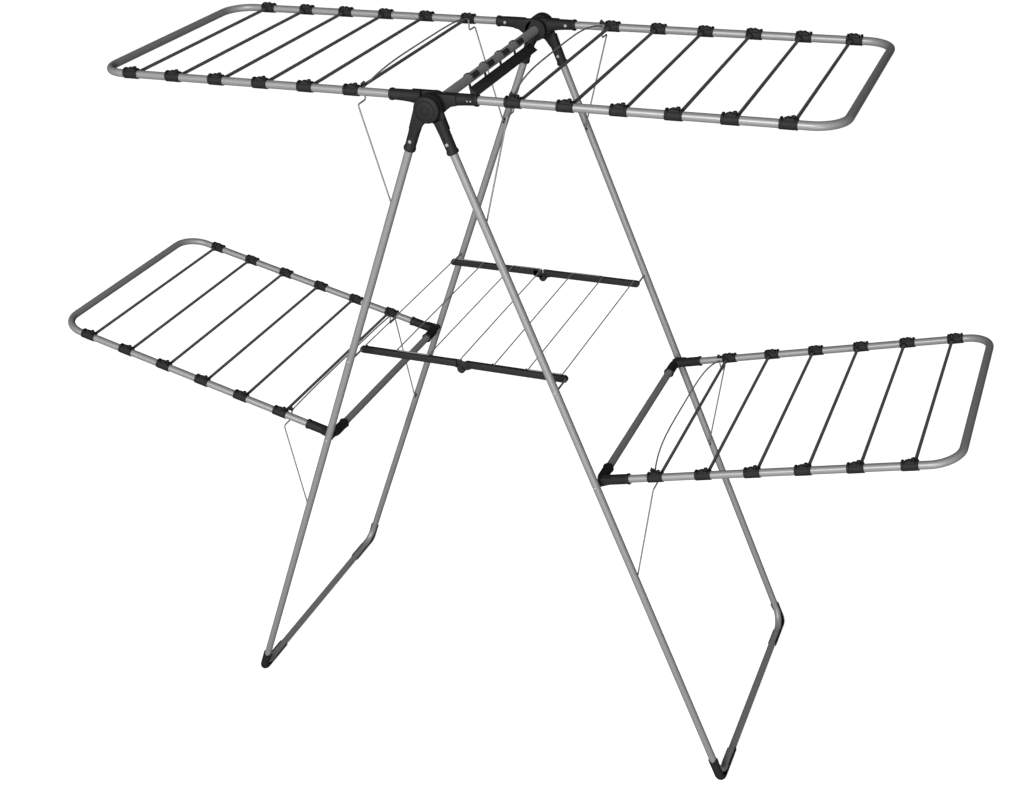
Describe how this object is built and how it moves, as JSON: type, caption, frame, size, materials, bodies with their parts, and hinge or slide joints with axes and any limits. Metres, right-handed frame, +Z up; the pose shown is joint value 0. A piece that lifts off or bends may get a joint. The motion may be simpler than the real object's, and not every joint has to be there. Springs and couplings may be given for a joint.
{
  "type": "clothes drying rack",
  "caption": "Folding laundry rack: crossed leg frames joined at two hubs, upper and lower pairs of hinged wings with clipped crossbars, wire stays and a laced folding shelf.",
  "frame": {"origin": "on the floor, under the middle of the rack", "axes": "+X along the open rack towards the right wings, +Y from the near hub to the far hub, +Z up"},
  "size_m": [1.8164, 0.548, 1.3721],
  "materials": {
    "tube_steel": "satin silver-grey paint",
    "bar_steel": "satin mid-grey paint",
    "wire_steel": "satin grey paint",
    "rail_steel": "satin silver paint, finely textured",
    "black_plastic": "satin black moulding",
    "shelf_plastic": "matt black moulding",
    "strip_plastic": "matt dark grey moulding",
    "shelf_cord": "light grey cord"
  },
  "bodies": {
    "frame_left": {"leg_frame_left": "tube_steel", "foot_left_near": "black_plastic", "foot_left_far": "black_plastic", "leg_socket_left_near": "black_plastic", "leg_socket_left_far": "black_plastic", "centre_rail": "rail_steel", "hanger_strip": "strip_plastic"},
    "frame_right": {"leg_frame_right": "tube_steel", "foot_right_near": "black_plastic", "foot_right_far": "black_plastic", "leg_socket_right_near": "black_plastic", "leg_socket_right_far": "black_plastic"},
    "wing_upper_left": {"upper_wing_frame_left": "tube_steel", "wing_arm_left_near": "black_plastic", "wing_arm_left_far": "black_plastic", "rung_upper_left_1": "bar_steel", "rung_upper_left_2": "bar_steel", "rung_upper_left_3": "bar_steel", "rung_upper_left_4": "bar_steel", "rung_upper_left_5": "bar_steel", "rung_upper_left_6": "bar_steel"},
    "wing_lower_left": {"lower_wing_frame_left": "tube_steel", "lower_cross_tube_left": "tube_steel", "wing_elbow_left_near": "black_plastic", "wing_elbow_left_far": "black_plastic", "rung_lower_left_1": "bar_steel", "rung_lower_left_2": "bar_steel", "rung_lower_left_3": "bar_steel", "rung_lower_left_4": "bar_steel", "rung_lower_left_5": "bar_steel", "rung_lower_left_6": "bar_steel"},
    "stay_upper_left": {"stay_upper_left": "wire_steel"},
    "stay_lower_left": {"stay_lower_left": "wire_steel"},
    "shelf_left": {"shelf_bar_left_near": "shelf_plastic", "shelf_bar_left_far": "shelf_plastic", "shelf_line_left": "shelf_cord"},
    "wing_upper_right": {"upper_wing_frame_right": "tube_steel", "wing_arm_right_near": "black_plastic", "wing_arm_right_far": "black_plastic", "rung_upper_right_1": "bar_steel", "rung_upper_right_2": "bar_steel", "rung_upper_right_3": "bar_steel", "rung_upper_right_4": "bar_steel", "rung_upper_right_5": "bar_steel", "rung_upper_right_6": "bar_steel"},
    "wing_lower_right": {"lower_wing_frame_right": "tube_steel", "lower_cross_tube_right": "tube_steel", "wing_elbow_right_near": "black_plastic", "wing_elbow_right_far": "black_plastic", "rung_lower_right_1": "bar_steel", "rung_lower_right_2": "bar_steel", "rung_lower_right_3": "bar_steel", "rung_lower_right_4": "bar_steel", "rung_lower_right_5": "bar_steel", "rung_lower_right_6": "bar_steel"},
    "stay_upper_right": {"stay_upper_right": "wire_steel"},
    "stay_lower_right": {"stay_lower_right": "wire_steel"},
    "shelf_right": {"shelf_bar_right_near": "shelf_plastic", "shelf_bar_right_far": "shelf_plastic", "shelf_line_right": "shelf_cord"}
  },
  "joints": [
    {"name": "leg_fold", "type": "hinge", "parent": "frame_left", "child": "frame_right", "pos_m": [0, 0, 1.337], "axis": [0, 1, 0], "range_deg": [0, 38]},
    {"name": "wing_upper_right", "type": "hinge", "parent": "frame_left", "child": "wing_upper_right", "pos_m": [0, 0, 1.337], "axis": [0, 1, 0], "range_deg": [0, 66]},
    {"name": "wing_lower_right", "type": "hinge", "parent": "frame_right", "child": "wing_lower_right", "pos_m": [0.27851, 0, 0.646], "axis": [0, 1, 0], "range_deg": [0, 80]},
    {"name": "stay_upper_right", "type": "hinge", "parent": "wing_upper_right", "child": "stay_upper_right", "pos_m": [0.1375, 0, 1.33043], "axis": [0, -1, 0], "range_deg": [0, 102.55]},
    {"name": "stay_lower_right", "type": "hinge", "parent": "wing_lower_right", "child": "stay_lower_right", "pos_m": [0.38305, 0, 0.65315], "axis": [0, -1, 0], "range_deg": [0, 111.05]},
    {"name": "wing_upper_left", "type": "hinge", "parent": "frame_left", "child": "wing_upper_left", "pos_m": [0, 0, 1.337], "axis": [0, -1, 0], "range_deg": [0, 66]},
    {"name": "wing_lower_left", "type": "hinge", "parent": "frame_left", "child": "wing_lower_left", "pos_m": [-0.27851, 0, 0.646], "axis": [0, -1, 0], "range_deg": [0, 80]},
    {"name": "stay_upper_left", "type": "hinge", "parent": "wing_upper_left", "child": "stay_upper_left", "pos_m": [-0.1375, 0, 1.33043], "axis": [0, 1, 0], "range_deg": [0, 102.55]},
    {"name": "stay_lower_left", "type": "hinge", "parent": "wing_lower_left", "child": "stay_lower_left", "pos_m": [-0.38305, 0, 0.65315], "axis": [0, 1, 0], "range_deg": [0, 111.05]},
    {"name": "shelf_left", "type": "hinge", "parent": "frame_left", "child": "shelf_left", "pos_m": [-0.20689, 0, 0.832], "axis": [0, -1, 0], "range_deg": [0, 65.29]},
    {"name": "shelf_knee", "type": "hinge", "parent": "shelf_left", "child": "shelf_right", "pos_m": [0, 0, 0.8215], "axis": [0, 1, 0], "range_deg": [0, 168.53]}
  ],
  "couplings": [
    {"joint": "stay_upper_right", "follows": "wing_upper_right", "ratio": 1.553},
    {"joint": "stay_lower_right", "follows": "wing_lower_right", "ratio": 1.3875},
    {"joint": "stay_upper_left", "follows": "wing_upper_left", "ratio": 1.553},
    {"joint": "stay_lower_left", "follows": "wing_lower_left", "ratio": 1.3875},
    {"joint": "shelf_left", "follows": "leg_fold", "ratio": 1.7169},
    {"joint": "shelf_knee", "follows": "leg_fold", "ratio": 4.4338}
  ]
}
